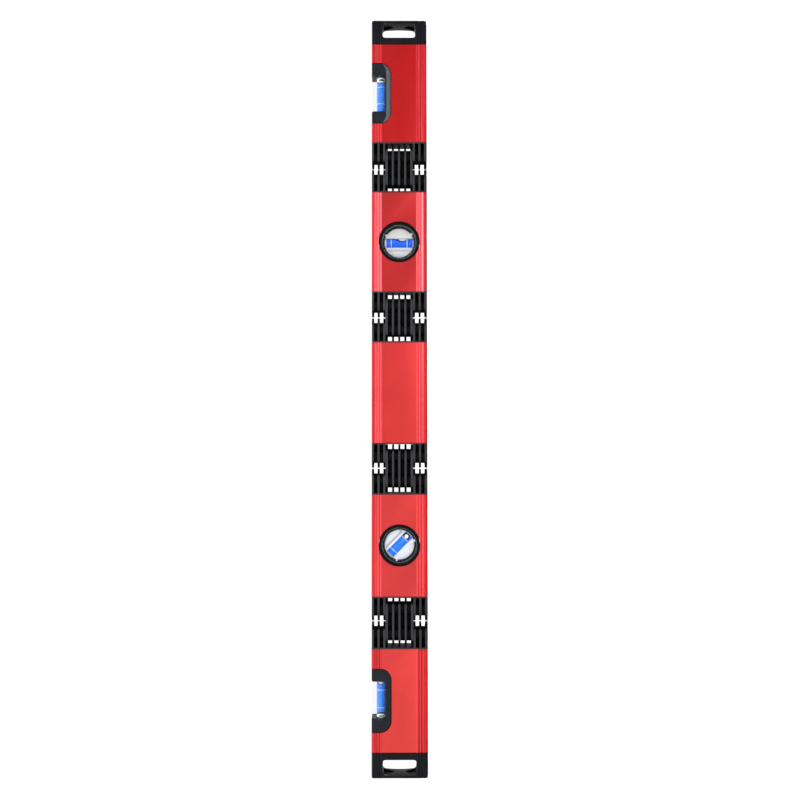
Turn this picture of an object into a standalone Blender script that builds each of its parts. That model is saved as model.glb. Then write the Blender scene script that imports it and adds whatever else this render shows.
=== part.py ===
"""Folding spirit level: five box-section segments joined by four double-pivot hinges.

The level lies on its measuring edge. X runs along its length, Y through its thickness and
Z across its width, and the origin is at the middle of the measuring edge. Units are metres.
"""

from math import asin, cos, degrees, pi, radians, sin

import bmesh
import bpy
from mathutils import Matrix, Vector

MM = 0.001

# ---------------------------------------------------------------- driving dimensions
SEGMENTS = 5
MIDDLE = 3
SEGMENT_LENGTH = 94.2 * MM
WIDTH = 52.0 * MM
THICKNESS = 22.0 * MM

FIT_GAP = 0.3 * MM  # left between two pieces that seat against each other
FOLD_GAP = 1.0 * MM  # left between two segments folded face to face
FACE_INSET = 0.1 * MM  # caps, plates and housings stay this far inside the tube's outline

# extruded tube
WALL = 1.8 * MM
EDGE_RADIUS = 2.5 * MM
RAIL_WIDTH = 9.9 * MM
PANEL_RECESS = 0.4 * MM
PANEL_SLOPE = 0.3 * MM
RAIL_GROOVES = (5.2 * MM, 7.7 * MM)
GROOVE_WIDTH = 0.8 * MM
GROOVE_DEPTH = 0.25 * MM

# hinge
LINK_WIDTH = 25.4 * MM
SIDE_CLEARANCE = 0.35 * MM  # between the link and the knuckles beside it
EDGE_INSET = 0.2 * MM  # the hinge stays this far inside the measuring edges
SWING_CLEARANCE = 0.35 * MM  # between a turning knuckle and the base plate
PLATE = 1.0 * MM
FIN = 2.0 * MM
LINK_FINS = 5
KNUCKLE_FINS = 3
HUB_RADIUS = 6.7 * MM
WEB = 3.0 * MM
PIN_RADIUS = 2.5 * MM
PIN_CLEARANCE = 0.25 * MM
PIN_INSET = 0.5 * MM
SPIGOT = 8.0 * MM
SPIGOT_WALL = 2.4 * MM
SPIGOT_FLOOR = 1.2 * MM

# end cap and its hang slot
CAP_LENGTH = 23.5 * MM
SLOT_LENGTH = 31.4 * MM
SLOT_HEIGHT = 13.6 * MM
SLOT_BAR = 3.1 * MM
SLOT_RADIUS = 3.0 * MM

# vial barrels
BARREL_RADIUS = 4.2 * MM
BARREL_WALL = 0.8 * MM
BARREL_FLOOR = 1.5 * MM
PLUG = 3.0 * MM

# level vial in the upper edge of each end segment
WINDOW_LENGTH = 35.0 * MM
WINDOW_DEPTH = 14.2 * MM
HOUSING_ARM = 11.8 * MM
HOUSING_BACK = 4.4 * MM
HOUSING_RADIUS = 10.5 * MM
BLOCK_WALL = 1.8 * MM
BLOCK_INSET = 0.8 * MM
BLOCK_FLOOR = 0.5 * MM  # under the bore, on the side away from the edge

# round vials in the second and fourth segments
BEZEL_RADIUS = 19.2 * MM
BEZEL_PROUD = 0.2 * MM
BEZEL_WALL = 2.7 * MM
CARRIER_RIM = 1.5 * MM
CARRIER_RIM_THICKNESS = 3.0 * MM
CARRIER_MARGIN = 2.7 * MM  # from the raised middle of the carrier to the bezel's bore
CARRIER_THICKNESS = 6.0 * MM
CARRIER_END_WALL = 1.0 * MM  # beyond each end of the barrel
COVER_THICKNESS = 1.2 * MM
COVER_DEPTH = 1.6 * MM
ANGLE_VIAL_TILT = 45.0

# facets; an odd count keeps a corner off the fins' middle plane
FIN_STEPS = 7
HUB_STEPS = 7
BORE_STEPS = 10
CORNER_STEPS = 3
HOUSING_STEPS = 5
RING_STEPS = 32
BARREL_STEPS = 16

# ---------------------------------------------------------------- derived places
HALF_T = THICKNESS / 2
KNUCKLE_RADIUS = HALF_T
PIN_SPACING = THICKNESS + FOLD_GAP
PIN_TO_TUBE = KNUCKLE_RADIUS + SWING_CLEARANCE + PLATE + FIT_GAP
HINGE_LENGTH = PIN_SPACING + 2 * PIN_TO_TUBE
PITCH = SEGMENT_LENGTH + HINGE_LENGTH
CAVITY_Y = HALF_T - WALL
CAVITY_Z = (WALL, WIDTH - WALL)
KNUCKLE_WIDTH = (WIDTH - LINK_WIDTH) / 2 - SIDE_CLEARANCE - EDGE_INSET
LINK_Z = (WIDTH - LINK_WIDTH) / 2
HOUSING_LENGTH = WINDOW_LENGTH + 2 * HOUSING_ARM
HOUSING_DEPTH = WINDOW_DEPTH + HOUSING_BACK
BLOCK_HALF_Y = BARREL_RADIUS + FIT_GAP + BLOCK_WALL
BLOCK_LENGTH = WINDOW_LENGTH - 2 * FIT_GAP
BLOCK_BOTTOM = WIDTH - WINDOW_DEPTH + FIT_GAP
BLOCK_TOP = WIDTH - BLOCK_INSET
EDGE_BARREL_Z = BLOCK_BOTTOM + BLOCK_FLOOR + FIT_GAP + BARREL_RADIUS
BEZEL_BORE = BEZEL_RADIUS - BEZEL_WALL
CARRIER_OUTER = BEZEL_BORE + CARRIER_RIM
CARRIER_RADIUS = BEZEL_BORE - CARRIER_MARGIN
ROUND_BARREL_LENGTH = 2 * (CARRIER_RADIUS - CARRIER_END_WALL)
HALF_WEB = WEB / 2
WEB_ANGLE = degrees(asin(HALF_WEB / HUB_RADIUS))  # where a hub's circle meets the web

# ---------------------------------------------------------------- axes of a flat outline
# each matrix turns an outline drawn in local XY, and pushed along local Z, into place
ALONG_Z = Matrix.Identity(4)
ALONG_X = Matrix(((0, 0, 1, 0), (1, 0, 0, 0), (0, 1, 0, 0), (0, 0, 0, 1)))  # drawn as (y, z)
ALONG_Y = Matrix(((0, 1, 0, 0), (0, 0, 1, 0), (1, 0, 0, 0), (0, 0, 0, 1)))  # drawn as (z, x)


def start_scene():
    """Empty the scene and make the collection that holds the level."""
    for old in list(bpy.data.objects):
        bpy.data.objects.remove(old, do_unlink=True)
    collection = bpy.data.collections.new("spirit_level")
    bpy.context.scene.collection.children.link(collection)
    return collection


LEVEL = start_scene()


def make_material(name, color, roughness, metallic=0.0, alpha=1.0):
    """A Principled BSDF material with one colour."""
    material = bpy.data.materials.new(name)
    material.use_nodes = True
    shader = material.node_tree.nodes["Principled BSDF"]
    shader.inputs["Base Color"].default_value = (*color, 1.0)
    shader.inputs["Roughness"].default_value = roughness
    shader.inputs["Metallic"].default_value = metallic
    shader.inputs["Alpha"].default_value = alpha
    return material


# ---------------------------------------------------------------- shaping tools
def place(obj, matrix):
    """Turn or shift a mesh object's points, leaving its origin at the world origin."""
    obj.data.transform(matrix)
    return obj


def outward(obj):
    """Weld coincident points and point every face outwards."""
    mesh = bmesh.new()
    mesh.from_mesh(obj.data)
    bmesh.ops.remove_doubles(mesh, verts=mesh.verts, dist=0.001 * MM)
    bmesh.ops.recalc_face_normals(mesh, faces=mesh.faces)
    mesh.to_mesh(obj.data)
    mesh.free()
    return obj


def evaluated(obj):
    """Replace an object by the mesh that its curve or modifiers make."""
    graph = bpy.context.evaluated_depsgraph_get()
    mesh = bpy.data.meshes.new_from_object(obj.evaluated_get(graph))
    solid = bpy.data.objects.new(obj.name, mesh)
    LEVEL.objects.link(solid)
    solid.matrix_world = obj.matrix_world.copy()
    bpy.data.objects.remove(obj, do_unlink=True)
    return solid


def prism(outlines, low, high, axes=ALONG_Z):
    """Push flat outlines from low to high. A second outline inside the first is a hole."""
    curve = bpy.data.curves.new("outline", "CURVE")
    curve.dimensions = "2D"
    curve.fill_mode = "BOTH"
    curve.extrude = (high - low) / 2
    for outline in outlines:
        spline = curve.splines.new("POLY")
        spline.points.add(len(outline) - 1)
        spline.use_cyclic_u = True
        for point, (u, v) in zip(spline.points, outline):
            point.co = (u, v, 0, 1)
    drawn = bpy.data.objects.new("outline", curve)
    LEVEL.objects.link(drawn)
    solid = outward(evaluated(drawn))
    place(solid, Matrix.Translation((0, 0, (low + high) / 2)))
    return place(solid, axes)


def turned(profile, steps, axes=ALONG_Z):
    """Turn a closed profile of (radius, height) points about local Z."""
    mesh = bpy.data.meshes.new("profile")
    count = len(profile)
    edges = [(i, (i + 1) % count) for i in range(count)]
    mesh.from_pydata([(radius, 0, height) for radius, height in profile], edges, [])
    lathe = bpy.data.objects.new("profile", mesh)
    LEVEL.objects.link(lathe)
    screw = lathe.modifiers.new("turn", "SCREW")
    screw.steps = steps
    screw.render_steps = steps
    screw.use_merge_vertices = True
    screw.merge_threshold = 0.001 * MM
    return place(outward(evaluated(lathe)), axes)


def cylinder(radius, low, high, steps, axes=ALONG_Z):
    """A plain cylinder about local Z."""
    mesh = bpy.data.meshes.new("cylinder")
    shape = bmesh.new()
    bmesh.ops.create_cone(
        shape,
        cap_ends=True,
        segments=steps,
        radius1=radius,
        radius2=radius,
        depth=high - low,
        matrix=Matrix.Translation((0, 0, (low + high) / 2)),
    )
    shape.to_mesh(mesh)
    shape.free()
    solid = bpy.data.objects.new("cylinder", mesh)
    LEVEL.objects.link(solid)
    return place(solid, axes)


def box(low, high):
    """A box between two opposite corners."""
    low = Vector(low)
    high = Vector(high)
    size = high - low
    mesh = bpy.data.meshes.new("box")
    shape = bmesh.new()
    scale = Matrix.Diagonal((*size, 1.0))
    bmesh.ops.create_cube(shape, size=1.0, matrix=Matrix.Translation((low + high) / 2) @ scale)
    shape.to_mesh(mesh)
    shape.free()
    solid = bpy.data.objects.new("box", mesh)
    LEVEL.objects.link(solid)
    return solid


def combine(base, tool, operation):
    """Join or cut two solids and drop the tool."""
    boolean = base.modifiers.new(operation.lower(), "BOOLEAN")
    boolean.operation = operation
    boolean.object = tool
    solid = evaluated(base)
    bpy.data.objects.remove(tool, do_unlink=True)
    return solid


def join(base, *others):
    """Add solids that overlap the base."""
    for other in others:
        base = combine(base, other, "UNION")
    return base


def cut(base, *tools):
    """Take tools away from the base."""
    for tool in tools:
        base = combine(base, tool, "DIFFERENCE")
    return base


def arc(center, radius, start, end, steps):
    """Points on an arc, in degrees, ends included."""
    u, v = center
    turns = [radians(start + (end - start) * i / steps) for i in range(steps + 1)]
    return [(u + radius * cos(turn), v + radius * sin(turn)) for turn in turns]


def rounded_box(low, high, radius, steps):
    """The outline of a rectangle with four round corners."""
    (u0, v0), (u1, v1) = low, high
    return (
        arc((u1 - radius, v1 - radius), radius, 0, 90, steps)
        + arc((u0 + radius, v1 - radius), radius, 90, 180, steps)
        + arc((u0 + radius, v0 + radius), radius, 180, 270, steps)
        + arc((u1 - radius, v0 + radius), radius, 270, 360, steps)
    )


# ---------------------------------------------------------------- bodies and nodes
BODIES = {}


def body(name, x=0.0, parent=None):
    """An empty on the joint axis of a moving body; its pieces hang from it."""
    empty = bpy.data.objects.new(name, None)
    LEVEL.objects.link(empty)
    place_at = Vector((x, 0, 0))
    if parent:
        empty.parent = BODIES[parent]["empty"]
        place_at = place_at - BODIES[parent]["place"]
    empty.location = place_at
    BODIES[name] = {"empty": empty, "place": Vector((x, 0, 0))}


def node(name, mesh_object, material, owner, x=0.0, turn=0.0, round_piece=False):
    """Name a finished solid, colour it and hang it from its body, x along the level."""
    obj = mesh_object.copy()
    LEVEL.objects.link(obj)
    obj.name = name
    if not obj.data.materials:
        obj.data.materials.append(material)
    if round_piece:
        obj.data.shade_smooth()
        obj.data.set_sharp_from_angle(angle=radians(40))
    obj.parent = BODIES[owner]["empty"]
    obj.location = Vector((x, 0, 0)) - BODIES[owner]["place"]
    obj.rotation_euler = (0, 0, turn)
    return obj


def finish_template(template):
    """Remove the pattern object once its copies stand in the level."""
    bpy.data.objects.remove(template, do_unlink=True)


# ---------------------------------------------------------------- extruded profile
def face_line(side, inset=0.0):
    """One broad face of the profile from the lower edge to the upper, as (y, z) points."""
    face = HALF_T - inset
    half_groove = GROOVE_WIDTH / 2
    lower = arc((face - EDGE_RADIUS, inset + EDGE_RADIUS), EDGE_RADIUS, 270, 360, CORNER_STEPS)
    for place_z in RAIL_GROOVES:
        lower.append((face, place_z - half_groove))
        lower.append((face - GROOVE_DEPTH, place_z))
        lower.append((face, place_z + half_groove))
    lower.append((face, RAIL_WIDTH))
    lower.append((face - PANEL_RECESS, RAIL_WIDTH + PANEL_SLOPE))
    upper = [(y, WIDTH - z) for y, z in reversed(lower)]
    return [(side * y, z) for y, z in lower + upper]


def profile_outline(inset=0.0):
    """The outline of the extruded tube, closed round both edges."""
    return face_line(1, inset) + list(reversed(face_line(-1, inset)))


def cavity_outline(gap=0.0):
    """The inside of the tube, or with a gap the outside of what plugs into it."""
    y = CAVITY_Y - gap
    bottom = CAVITY_Z[0] + gap
    top = CAVITY_Z[1] - gap
    return [(-y, bottom), (y, bottom), (y, top), (-y, top)]


def notch_outline(gap):
    """The pocket for a level vial, as (z, x) points, open past the upper edge."""
    half = HOUSING_LENGTH / 2 - gap
    floor = WIDTH - HOUSING_DEPTH + gap
    top = WIDTH + HOUSING_DEPTH
    radius = HOUSING_RADIUS - gap
    low_corner = arc((floor + radius, -half + radius), radius, 270, 180, HOUSING_STEPS)
    high_corner = arc((floor + radius, half - radius), radius, 180, 90, HOUSING_STEPS)
    return [(top, -half)] + low_corner + high_corner + [(top, half)]


def make_tube(vial):
    """A length of the profile, with the opening for its vial."""
    half = SEGMENT_LENGTH / 2
    tube = prism([profile_outline(), cavity_outline()], -half, half, ALONG_X)
    if vial == "edge":
        pocket = prism([notch_outline(0.0)], -THICKNESS, THICKNESS, ALONG_Y)
        tube = cut(tube, pocket)
    if vial == "round":
        hole = cylinder(BEZEL_RADIUS + FIT_GAP, -THICKNESS, THICKNESS, RING_STEPS, ALONG_Y)
        tube = cut(tube, place(hole, Matrix.Translation((0, 0, WIDTH / 2))))
    return tube


# ---------------------------------------------------------------- what plugs into a tube
def spigot(start, inwards):
    """A hollow plug for the tube that begins at start and runs inwards (1 is towards +X)."""
    end = start + inwards * SPIGOT
    root = start - inwards * PLATE / 2
    plug = prism([cavity_outline(FIT_GAP)], min(root, end), max(root, end), ALONG_X)
    floor = start + inwards * SPIGOT_FLOOR
    open_end = end + inwards * SPIGOT
    y = CAVITY_Y - FIT_GAP - SPIGOT_WALL
    bottom = CAVITY_Z[0] + FIT_GAP + SPIGOT_WALL
    top = CAVITY_Z[1] - FIT_GAP - SPIGOT_WALL
    hollow = box((min(floor, open_end), -y, bottom), (max(floor, open_end), y, top))
    return cut(plug, hollow)


# ---------------------------------------------------------------- hinge
def fin_places(start, width, count):
    """Where each fin begins and ends across a group of fins."""
    pitch = (width - FIN) / (count - 1)
    return [(start + i * pitch, start + i * pitch + FIN) for i in range(count)]


def make_bracket():
    """The half hinge on a tube's end: pin axis at x = 0, tube towards +X."""
    plate_x = KNUCKLE_RADIUS + SWING_CLEARANCE
    root = plate_x + PLATE / 2
    fin_line = arc((0, 0), KNUCKLE_RADIUS, 90, 270, FIN_STEPS)
    fin_line += [(root, -HALF_T), (root, HALF_T)]
    core_line = arc((0, 0), HUB_RADIUS, WEB_ANGLE, 360 - WEB_ANGLE, HUB_STEPS)
    core_line += [(root, -HALF_WEB), (root, HALF_WEB)]
    plate = box(
        (plate_x, -HALF_T + FACE_INSET, EDGE_INSET + FACE_INSET),
        (plate_x + PLATE, HALF_T - FACE_INSET, WIDTH - EDGE_INSET - FACE_INSET),
    )
    bracket = join(plate, spigot(plate_x + PLATE, 1))
    for start in (EDGE_INSET, WIDTH - EDGE_INSET - KNUCKLE_WIDTH):
        core = prism([core_line], start + FIN / 2, start + KNUCKLE_WIDTH - FIN / 2)
        bracket = join(bracket, core)
        for low, high in fin_places(start, KNUCKLE_WIDTH, KNUCKLE_FINS):
            bracket = join(bracket, prism([fin_line], low, high))
    bore = cylinder(PIN_RADIUS + PIN_CLEARANCE, -WIDTH, 2 * WIDTH, BORE_STEPS)
    return cut(bracket, bore)


def make_link():
    """The double-pivot middle piece, with a pin bore on either side of x = 0."""
    reach = PIN_SPACING / 2
    fin_line = arc((reach, 0), KNUCKLE_RADIUS, -90, 90, FIN_STEPS)
    fin_line += arc((-reach, 0), KNUCKLE_RADIUS, 90, 270, FIN_STEPS)
    core_line = arc((reach, 0), HUB_RADIUS, WEB_ANGLE - 180, 180 - WEB_ANGLE, HUB_STEPS)
    core_line += arc((-reach, 0), HUB_RADIUS, WEB_ANGLE, 360 - WEB_ANGLE, HUB_STEPS)
    link = prism([core_line], LINK_Z + FIN / 2, LINK_Z + LINK_WIDTH - FIN / 2)
    for low, high in fin_places(LINK_Z, LINK_WIDTH, LINK_FINS):
        link = join(link, prism([fin_line], low, high))
    for x in (reach, -reach):
        bore = cylinder(PIN_RADIUS + PIN_CLEARANCE, -WIDTH, 2 * WIDTH, BORE_STEPS)
        link = cut(link, place(bore, Matrix.Translation((x, 0, 0))))
    return link


def make_pin():
    """A plain pin through both knuckle groups and the link."""
    return cylinder(PIN_RADIUS, EDGE_INSET + PIN_INSET, WIDTH - EDGE_INSET - PIN_INSET, BORE_STEPS)


# ---------------------------------------------------------------- end cap
def make_cap():
    """The cap for the +X end: x = 0 at the tube's end face."""
    shell = prism([profile_outline(FACE_INSET)], FIT_GAP, CAP_LENGTH, ALONG_X)
    cap = join(shell, spigot(FIT_GAP, -1))
    top = CAP_LENGTH - SLOT_BAR
    corner_low = ((WIDTH - SLOT_LENGTH) / 2, top - SLOT_HEIGHT)
    corner_high = ((WIDTH + SLOT_LENGTH) / 2, top)
    slot = rounded_box(corner_low, corner_high, SLOT_RADIUS, CORNER_STEPS)
    return cut(cap, prism([slot], -THICKNESS, THICKNESS, ALONG_Y))


# ---------------------------------------------------------------- vial insides
def make_barrel(length):
    """A clear cup about local Z, closed at its lower end, open at the top."""
    inner = BARREL_RADIUS - BARREL_WALL
    half = length / 2
    rod = cylinder(BARREL_RADIUS, -half, half, BARREL_STEPS)
    hollow = cylinder(inner, -half + BARREL_FLOOR, length, BARREL_STEPS)
    return cut(rod, hollow)


def make_plug(length):
    """The stopper in the barrel's open end."""
    return cylinder(BARREL_RADIUS - BARREL_WALL - FIT_GAP, length / 2 - PLUG, length / 2, BARREL_STEPS)


def make_liquid(length):
    """The dyed liquid between the barrel's closed end and its plug."""
    low = -length / 2 + BARREL_FLOOR + FIT_GAP
    high = length / 2 - PLUG - FIT_GAP
    return cylinder(BARREL_RADIUS - BARREL_WALL - FIT_GAP, low, high, BARREL_STEPS)


def make_vial_insides(length, pose):
    """Barrel, plug and liquid, laid in their pose."""
    makers = {"barrel": make_barrel, "plug": make_plug, "liquid": make_liquid}
    return {name: place(maker(length), pose) for name, maker in makers.items()}


# ---------------------------------------------------------------- level vial
def make_edge_housing():
    """The dark frame in the notch, open to the upper edge."""
    y = HALF_T - FACE_INSET
    frame = prism([notch_outline(FIT_GAP)], -y, y, ALONG_Y)
    above = box((-SEGMENT_LENGTH, -THICKNESS, WIDTH - FACE_INSET), (SEGMENT_LENGTH, THICKNESS, 2 * WIDTH))
    half = WINDOW_LENGTH / 2
    window = box((-half, -THICKNESS, WIDTH - WINDOW_DEPTH), (half, THICKNESS, 2 * WIDTH))
    return cut(frame, above, window)


def make_edge_block():
    """The clear block that fills the window and holds the barrel."""
    half = BLOCK_LENGTH / 2
    block = box((-half, -BLOCK_HALF_Y, BLOCK_BOTTOM), (half, BLOCK_HALF_Y, BLOCK_TOP))
    bore = cylinder(BARREL_RADIUS + FIT_GAP, -SEGMENT_LENGTH, SEGMENT_LENGTH, BARREL_STEPS, ALONG_X)
    return cut(block, place(bore, Matrix.Translation((0, 0, EDGE_BARREL_Z))))


# ---------------------------------------------------------------- round vial
def make_bezel(side):
    """One of the two dark rings that clamp the carrier; side -1 is the front."""
    face = HALF_T + BEZEL_PROUD
    shoulder = CARRIER_RIM_THICKNESS / 2 + FIT_GAP
    counterbore = CARRIER_OUTER + FIT_GAP
    middle = FIT_GAP / 2
    profile = [
        (BEZEL_RADIUS, face),
        (BEZEL_RADIUS, middle),
        (counterbore, middle),
        (counterbore, shoulder),
        (BEZEL_BORE, shoulder),
        (BEZEL_BORE, face),
    ]
    ring = turned([(radius, side * height) for radius, height in profile], RING_STEPS, ALONG_Y)
    return place(ring, Matrix.Translation((0, 0, WIDTH / 2)))


def make_carrier(tilt):
    """The white disc with a slot in which the barrel lies, tilted from the Z axis."""
    rim = CARRIER_RIM_THICKNESS / 2
    raised = CARRIER_THICKNESS / 2
    disc = join(
        cylinder(CARRIER_OUTER, -rim, rim, RING_STEPS, ALONG_Y),
        cylinder(CARRIER_RADIUS, -raised, raised, RING_STEPS, ALONG_Y),
    )
    half = ROUND_BARREL_LENGTH / 2 + FIT_GAP
    side = BARREL_RADIUS + FIT_GAP
    slot = box((-side, -THICKNESS, -half), (side, THICKNESS, half))
    slot = place(slot, Matrix.Rotation(radians(tilt), 4, "Y"))
    return place(cut(disc, slot), Matrix.Translation((0, 0, WIDTH / 2)))


def make_cover(side):
    """A clear disc set a little way into a bezel."""
    outer = HALF_T - COVER_DEPTH
    low, high = sorted((side * outer, side * (outer - COVER_THICKNESS)))
    disc = cylinder(BEZEL_BORE - FIT_GAP, low, high, RING_STEPS, ALONG_Y)
    return place(disc, Matrix.Translation((0, 0, WIDTH / 2)))


# ---------------------------------------------------------------- assembly
RED = make_material("red_anodised_aluminium", (0.62, 0.045, 0.05), 0.38, 0.6)
BLACK = make_material("black_nylon", (0.018, 0.018, 0.02), 0.5)
BLACK_ABS = make_material("black_abs", (0.02, 0.02, 0.022), 0.35)
STEEL = make_material("black_oxide_steel", (0.06, 0.06, 0.065), 0.4, 1.0)
CLEAR = make_material("clear_acrylic", (0.93, 0.96, 0.97), 0.05, 0.0, 0.3)
WHITE = make_material("white_abs", (0.85, 0.86, 0.85), 0.4)
BLUE = make_material("blue_vial_liquid", (0.03, 0.2, 0.85), 0.1)
PLUG_WHITE = make_material("vial_plug", (0.8, 0.82, 0.85), 0.3)


def segment_x(number):
    """The middle of a segment; segment 1 is at the +X end."""
    return (MIDDLE - number) * PITCH


def pin_x(hinge, side):
    """The pin of a hinge next to the lower-numbered ("a") or higher-numbered ("b") segment."""
    middle = (segment_x(hinge) + segment_x(hinge + 1)) / 2
    return middle + (PIN_SPACING / 2 if side == "a" else -PIN_SPACING / 2)


def build_bodies():
    """The chain of bodies, from the middle segment outwards both ways."""
    body(f"segment_{MIDDLE}")
    for hinge in range(MIDDLE - 1, 0, -1):
        body(f"link_{hinge}", pin_x(hinge, "b"), f"segment_{hinge + 1}")
        body(f"segment_{hinge}", pin_x(hinge, "a"), f"link_{hinge}")
    for hinge in range(MIDDLE, SEGMENTS):
        body(f"link_{hinge}", pin_x(hinge, "a"), f"segment_{hinge}")
        body(f"segment_{hinge + 1}", pin_x(hinge, "b"), f"link_{hinge}")


def build_tubes():
    """Five tubes: level vials in the ends, round vials in the second and fourth."""
    kinds = {1: "edge", 2: "round", 3: "plain", 4: "round", 5: "edge"}
    for kind in ("edge", "round", "plain"):
        template = make_tube(kind)
        for number in [n for n, its_kind in kinds.items() if its_kind == kind]:
            node(f"tube_{number}", template, RED, f"segment_{number}", segment_x(number))
        finish_template(template)


def build_hinges():
    """Four hinges, each with two brackets, a link and two pins."""
    bracket = make_bracket()
    link = make_link()
    pin = make_pin()
    for hinge in range(1, SEGMENTS):
        for side, owner, turn in (("a", hinge, 0.0), ("b", hinge + 1, pi)):
            x = pin_x(hinge, side)
            segment = f"segment_{owner}"
            node(f"hinge_bracket_{hinge}{side}", bracket, BLACK, segment, x, turn)
            node(f"hinge_pin_{hinge}{side}", pin, STEEL, segment, x, 0.0, True)
        middle = (pin_x(hinge, "a") + pin_x(hinge, "b")) / 2
        node(f"hinge_link_{hinge}", link, BLACK, f"link_{hinge}", middle)
    for template in (bracket, link, pin):
        finish_template(template)


def build_caps():
    """One cap at each end of the chain."""
    cap = make_cap()
    half = SEGMENT_LENGTH / 2
    node("end_cap_1", cap, BLACK_ABS, "segment_1", segment_x(1) + half)
    node("end_cap_5", cap, BLACK_ABS, "segment_5", segment_x(5) - half, pi)
    finish_template(cap)


def build_level_vials():
    """The level vials; the plugged end of each barrel points away from the middle."""
    for number in (1, 5):
        owner = f"segment_{number}"
        x = segment_x(number)
        turn = 0.0 if number == 1 else pi
        pose = Matrix.Translation((0, 0, EDGE_BARREL_Z)) @ ALONG_X
        parts = make_vial_insides(BLOCK_LENGTH, pose)
        pieces = {
            "housing": (make_edge_housing(), BLACK_ABS),
            "block": (make_edge_block(), CLEAR),
            "barrel": (parts["barrel"], CLEAR),
            "plug": (parts["plug"], PLUG_WHITE),
            "liquid": (parts["liquid"], BLUE),
        }
        for name, (template, material) in pieces.items():
            is_round = name in ("barrel", "plug", "liquid")
            node(f"level_vial_{name}_{number}", template, material, owner, x, turn, is_round)
            finish_template(template)


def build_round_vials():
    """The plumb vial across segment 2 and the 45 degree vial in segment 4."""
    for title, number, tilt in (("plumb", 2, 0.0), ("angle", 4, -ANGLE_VIAL_TILT)):
        owner = f"segment_{number}"
        x = segment_x(number)
        pose = Matrix.Translation((0, 0, WIDTH / 2)) @ Matrix.Rotation(radians(tilt), 4, "Y")
        parts = make_vial_insides(ROUND_BARREL_LENGTH, pose)
        pieces = {
            "bezel_front": (make_bezel(-1), BLACK_ABS),
            "bezel_rear": (make_bezel(1), BLACK_ABS),
            "carrier": (make_carrier(tilt), WHITE),
            "cover_front": (make_cover(-1), CLEAR),
            "cover_rear": (make_cover(1), CLEAR),
            "barrel": (parts["barrel"], CLEAR),
            "plug": (parts["plug"], PLUG_WHITE),
            "liquid": (parts["liquid"], BLUE),
        }
        for name, (template, material) in pieces.items():
            node(f"{title}_vial_{name}", template, material, owner, x, 0.0, True)
            finish_template(template)


build_bodies()
build_tubes()
build_hinges()
build_caps()
build_level_vials()
build_round_vials()
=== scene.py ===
from math import asin, cos, degrees, pi, radians, sin

import bmesh
import bpy
from mathutils import Euler, Matrix, Vector


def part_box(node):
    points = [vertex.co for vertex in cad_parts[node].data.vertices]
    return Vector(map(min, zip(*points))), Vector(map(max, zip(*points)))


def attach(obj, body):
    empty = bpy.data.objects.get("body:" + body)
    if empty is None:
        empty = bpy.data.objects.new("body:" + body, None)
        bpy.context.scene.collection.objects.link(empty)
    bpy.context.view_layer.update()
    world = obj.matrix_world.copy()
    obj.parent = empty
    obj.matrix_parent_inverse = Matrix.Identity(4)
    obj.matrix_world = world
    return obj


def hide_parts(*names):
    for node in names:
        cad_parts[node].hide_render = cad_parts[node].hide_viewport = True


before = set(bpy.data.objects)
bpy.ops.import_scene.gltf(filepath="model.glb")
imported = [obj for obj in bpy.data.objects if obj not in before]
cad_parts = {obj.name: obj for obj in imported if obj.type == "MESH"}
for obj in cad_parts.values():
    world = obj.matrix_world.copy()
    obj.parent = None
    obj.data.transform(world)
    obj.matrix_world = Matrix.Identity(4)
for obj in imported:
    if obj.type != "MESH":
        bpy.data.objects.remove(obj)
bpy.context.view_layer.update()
mm = 0.001
print("frame loaded:", len(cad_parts), "nodes")

workshop = bpy.context.scene
workshop.view_settings.view_transform = "Standard"  # plain colours, as a catalogue shot has


def linear(code, alpha=1.0):
    # a hex colour as the linear values that the shader wants
    parts = [int(code[i:i + 2], 16) / 255 for i in (0, 2, 4)]
    return (*[p / 12.92 if p <= 0.04045 else ((p + 0.055) / 1.055) ** 2.4 for p in parts], alpha)


def addNode(tree, kind, settings=None, links=None):
    # one node with its settings and links; a key is a socket's name or number, or a property
    node = tree.nodes.new(kind)
    for key, value in (settings or {}).items():
        if isinstance(key, int) or key in node.inputs:
            node.inputs[key].default_value = value
        else:
            setattr(node, key, value)
    for key, socket in (links or {}).items():
        tree.links.new(socket, node.inputs[key])
    return node


def startMaterial(name, colour, settings):
    material = bpy.data.materials.new(name)
    material.use_nodes = True
    material.diffuse_color = linear(colour)
    tree = material.node_tree
    shader = tree.nodes["Principled BSDF"]
    shader.inputs["Base Color"].default_value = linear(colour)
    for key, value in settings.items():
        shader.inputs[key].default_value = value
    return material, tree, shader


def perMetre(size):
    # a noise scale from the size of its features in mm
    return 1 / (size * mm)


# Red anodised aluminium, extruded, its panel blasted to a satin and its rails smoother, with the
# rails' colour set apart from the panel's as painted light. The dye sits in a clear oxide skin over
# the metal, so it colours the reflection, and the skin adds a paler sheen of its own. Fine die lines run
# along it, and the dye is a little uneven.
anodised = {
    "lowerCorner": "d0242a",  # the lower rounded corner's tone, paler than the upper one's
    # the upper rounded corner: painted shade, darker where the rounding turns away from the light
    "upperCornerShade": "a81216",
    "metallic": 0.5,
    "roughness": (0.22, 0.32),  # on the rails
    "blasted": 0.16,  # how much rougher the panel is
    "shine": 0.25,
    "coat": 0.06,
    "coatRoughness": 0.28,
    "cloud": 30,  # mm across a patch of uneven dye
    "cloudDepth": 0.05,
    "dieLine": (250, 0.25),  # length and width of one
    "grain": 0.4,
    "relief": 0.12,
    "depth": 0.05,  # of the lines and the grain
}
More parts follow.
